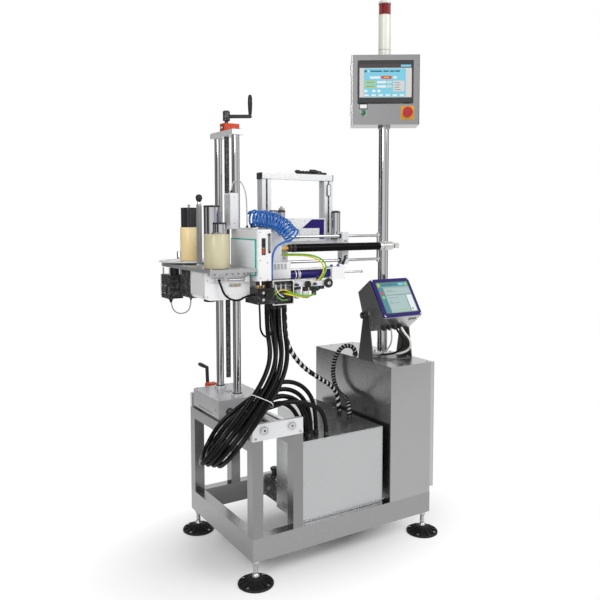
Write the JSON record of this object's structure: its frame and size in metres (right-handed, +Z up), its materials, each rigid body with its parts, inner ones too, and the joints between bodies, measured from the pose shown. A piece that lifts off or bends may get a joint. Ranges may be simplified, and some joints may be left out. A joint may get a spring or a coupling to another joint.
{
  "type": "pallet labelling machine",
  "caption": "Free-standing label printer and applicator: a head that is cranked up a column on a cross slide, on a levelled frame with a cabinet, a display and an operator panel.",
  "frame": {"origin": "centre of the front left levelling foot's underside, on the floor", "axes": "+X to the right along the front, +Y towards the back, +Z up along the column"},
  "size_m": [1.0507, 0.7447, 2.123],
  "materials": {
    "brushed_frame": "brushed stainless steel",
    "brushed_sheet": "fine brushed stainless sheet",
    "pale_aluminium": "clear anodised",
    "chrome_bars": "ground and chromed",
    "steel": "turned steel",
    "black_metal": "black powder coat",
    "dark_paint": "dark grey powder coat",
    "white_paint": "smooth white paint",
    "indigo_metal": "indigo anodised",
    "black_rubber": "ribbed matte rubber",
    "black_plastic": "fine-grained",
    "black_hose": "semi-gloss hose",
    "black_gloss": "polished",
    "grey_plastic": "matte",
    "pale_plastic": "satin",
    "orange_plastic": "satin",
    "red_plastic": "glossy",
    "green_plastic": "glossy",
    "blue_plastic": "glossy tube",
    "indigo_plastic": "satin",
    "yellow_cable": "cable sheath",
    "amber_paper": "wound liner",
    "cream_paper": "wound labels"
  },
  "bodies": {
    "base": {"base_rails": "brushed_frame", "upper_frame": "brushed_frame", "foot_pads": "black_rubber", "foot_stems": "steel", "slide_end_plates": "pale_aluminium", "cross_guide_rods": "chrome_bars", "cross_indicator": "orange_plastic", "low_box": "brushed_sheet", "tall_cabinet": "brushed_sheet", "control_plate": "grey_plastic", "pole": "brushed_frame", "terminal_yoke": "dark_paint", "air_filter": "black_plastic", "hoses_lower": "black_hose", "side_hoses": "black_hose"},
    "door": {"cabinet_door": "brushed_sheet", "door_gasket": "black_rubber"},
    "latch": {"door_latch": "black_plastic"},
    "panel": {"panel_box": "brushed_sheet", "touch_screen": "black_gloss", "lamp_column": "pale_plastic", "lamp_lens": "red_plastic"},
    "start": {"start_button": "green_plastic"},
    "stop": {"stop_button": "red_plastic"},
    "terminal": {"terminal_housing": "dark_paint", "terminal_screen": "indigo_plastic"},
    "tilt_clamp": {"tilt_knob": "black_plastic"},
    "carriage": {"cross_carriage": "pale_aluminium", "column_rods": "chrome_bars", "column_top": "pale_aluminium"},
    "column_crank": {"height_crank": "black_metal"},
    "column_grip": {"height_grip": "black_plastic"},
    "slide_crank": {"cross_crank": "black_metal"},
    "slide_grip": {"cross_grip": "black_plastic"},
    "head": {"head_block": "pale_aluminium", "platform": "pale_aluminium", "chassis": "white_paint", "print_module": "white_paint", "tamp_pad": "pale_plastic", "drive_motors": "black_metal", "arm_rods": "steel", "arm_conduit": "black_hose", "push_cylinder": "indigo_metal", "valve_station": "black_plastic", "air_service_unit": "black_plastic", "air_coil": "blue_plastic", "hoses_upper": "black_hose", "head_cables": "yellow_cable"},
    "pusher": {"push_rod": "steel"},
    "wheel": {"clamp_wheel": "black_plastic"},
    "reel": {"reel_core": "black_gloss", "left_roll": "amber_paper"},
    "label_roll": {"front_roll": "cream_paper"},
    "guide_roller_tall": {"tall_roller": "chrome_bars"},
    "guide_roller_short": {"short_roller": "chrome_bars"},
    "printer": {"portal_frame": "pale_aluminium", "printer_housing": "white_paint"},
    "lever": {"clamp_lever": "black_plastic"},
    "web_roller_left": {"left_print_roller": "steel"},
    "web_roller_right": {"right_print_roller": "steel"}
  },
  "joints": [
    {"name": "cross_slide", "type": "slide", "parent": "base", "child": "carriage", "axis": [0, 1, 0], "range_m": [-0.2, 0.005], "deforming": ["hoses_lower", "side_hoses"]},
    {"name": "cross_crank_turn", "type": "hinge", "parent": "base", "child": "slide_crank", "pos_m": [0.078, 0.55, 0.537], "axis": [0, 1, 0], "range_deg": [-14500, 600]},
    {"name": "cross_grip_turn", "type": "hinge", "parent": "slide_crank", "child": "slide_grip", "pos_m": [0.078, 0.6, 0.637], "axis": [0, 1, 0], "continuous": true},
    {"name": "head_lift", "type": "slide", "parent": "carriage", "child": "head", "axis": [0, 0, 1], "range_m": [-0.05, 0.19], "deforming": ["hoses_upper"]},
    {"name": "height_crank_turn", "type": "hinge", "parent": "carriage", "child": "column_crank", "pos_m": [0.078, 0.365, 1.62], "axis": [0, 0, 1], "range_deg": [-3700, 13800]},
    {"name": "height_grip_turn", "type": "hinge", "parent": "column_crank", "child": "column_grip", "pos_m": [0.178, 0.365, 1.67], "axis": [0, 0, 1], "continuous": true},
    {"name": "reel_turn", "type": "hinge", "parent": "head", "child": "reel", "pos_m": [-0.052, 0.425, 1.1], "axis": [0, 0, 1], "continuous": true},
    {"name": "label_roll_turn", "type": "hinge", "parent": "head", "child": "label_roll", "pos_m": [-0.092, 0.092, 1.1], "axis": [0, 0, 1], "continuous": true},
    {"name": "tall_roller_turn", "type": "hinge", "parent": "head", "child": "guide_roller_tall", "pos_m": [-0.056, 0.21, 1.1], "axis": [0, 0, 1], "continuous": true},
    {"name": "short_roller_turn", "type": "hinge", "parent": "head", "child": "guide_roller_short", "pos_m": [-0.05, 0.15, 1.1], "axis": [0, 0, 1], "continuous": true},
    {"name": "printer_slide", "type": "slide", "parent": "head", "child": "printer", "axis": [1, 0, 0], "range_m": [-0.015, 0.12]},
    {"name": "clamp_lever_turn", "type": "hinge", "parent": "printer", "child": "lever", "pos_m": [0.52, 0.206, 1.096], "axis": [0, 1, 0], "range_deg": [-40, 40]},
    {"name": "left_web_roller_turn", "type": "hinge", "parent": "printer", "child": "web_roller_left", "pos_m": [0.272, 0.29, 1.2], "axis": [0, 0, 1], "continuous": true},
    {"name": "right_web_roller_turn", "type": "hinge", "parent": "printer", "child": "web_roller_right", "pos_m": [0.525, 0.29, 1.2], "axis": [0, 0, 1], "continuous": true},
    {"name": "push_rod_slide", "type": "slide", "parent": "head", "child": "pusher", "axis": [1, 0, 0], "range_m": [-0.09, 0]},
    {"name": "clamp_wheel_turn", "type": "hinge", "parent": "head", "child": "wheel", "pos_m": [0.336, 0.06, 1.013], "axis": [0, 1, 0], "continuous": true},
    {"name": "panel_swivel", "type": "hinge", "parent": "base", "child": "panel", "pos_m": [0.721, 0.23, 1.62], "axis": [0, 0, 1], "range_deg": [-40, 40]},
    {"name": "start_press", "type": "slide", "parent": "panel", "child": "start", "axis": [0.5592, 0.829, 0], "range_m": [0, 0.004], "stiffness_N_per_m": 600},
    {"name": "stop_press", "type": "slide", "parent": "panel", "child": "stop", "axis": [0.5592, 0.829, 0], "range_m": [0, 0.005]},
    {"name": "terminal_tilt", "type": "hinge", "parent": "base", "child": "terminal", "pos_m": [0.66, 0.14, 0.868], "axis": [1, 0, 0], "range_deg": [0, 30]},
    {"name": "tilt_clamp_turn", "type": "hinge", "parent": "terminal", "child": "tilt_clamp", "pos_m": [0.66, 0.14, 0.868], "axis": [1, 0, 0], "continuous": true},
    {"name": "door_swing", "type": "hinge", "parent": "base", "child": "door", "pos_m": [0.796, 0.503, 0.4], "axis": [0, 0, 1], "range_deg": [0, 110]},
    {"name": "latch_turn", "type": "hinge", "parent": "door", "child": "latch", "pos_m": [0.78, 0.014, 0.44], "axis": [1, 0, 0], "range_deg": [0, 90]}
  ],
  "couplings": [
    {"joint": "cross_crank_turn", "follows": "cross_slide", "rad_per_m": 1256.6},
    {"joint": "height_crank_turn", "follows": "head_lift", "rad_per_m": 1256.6}
  ]
}
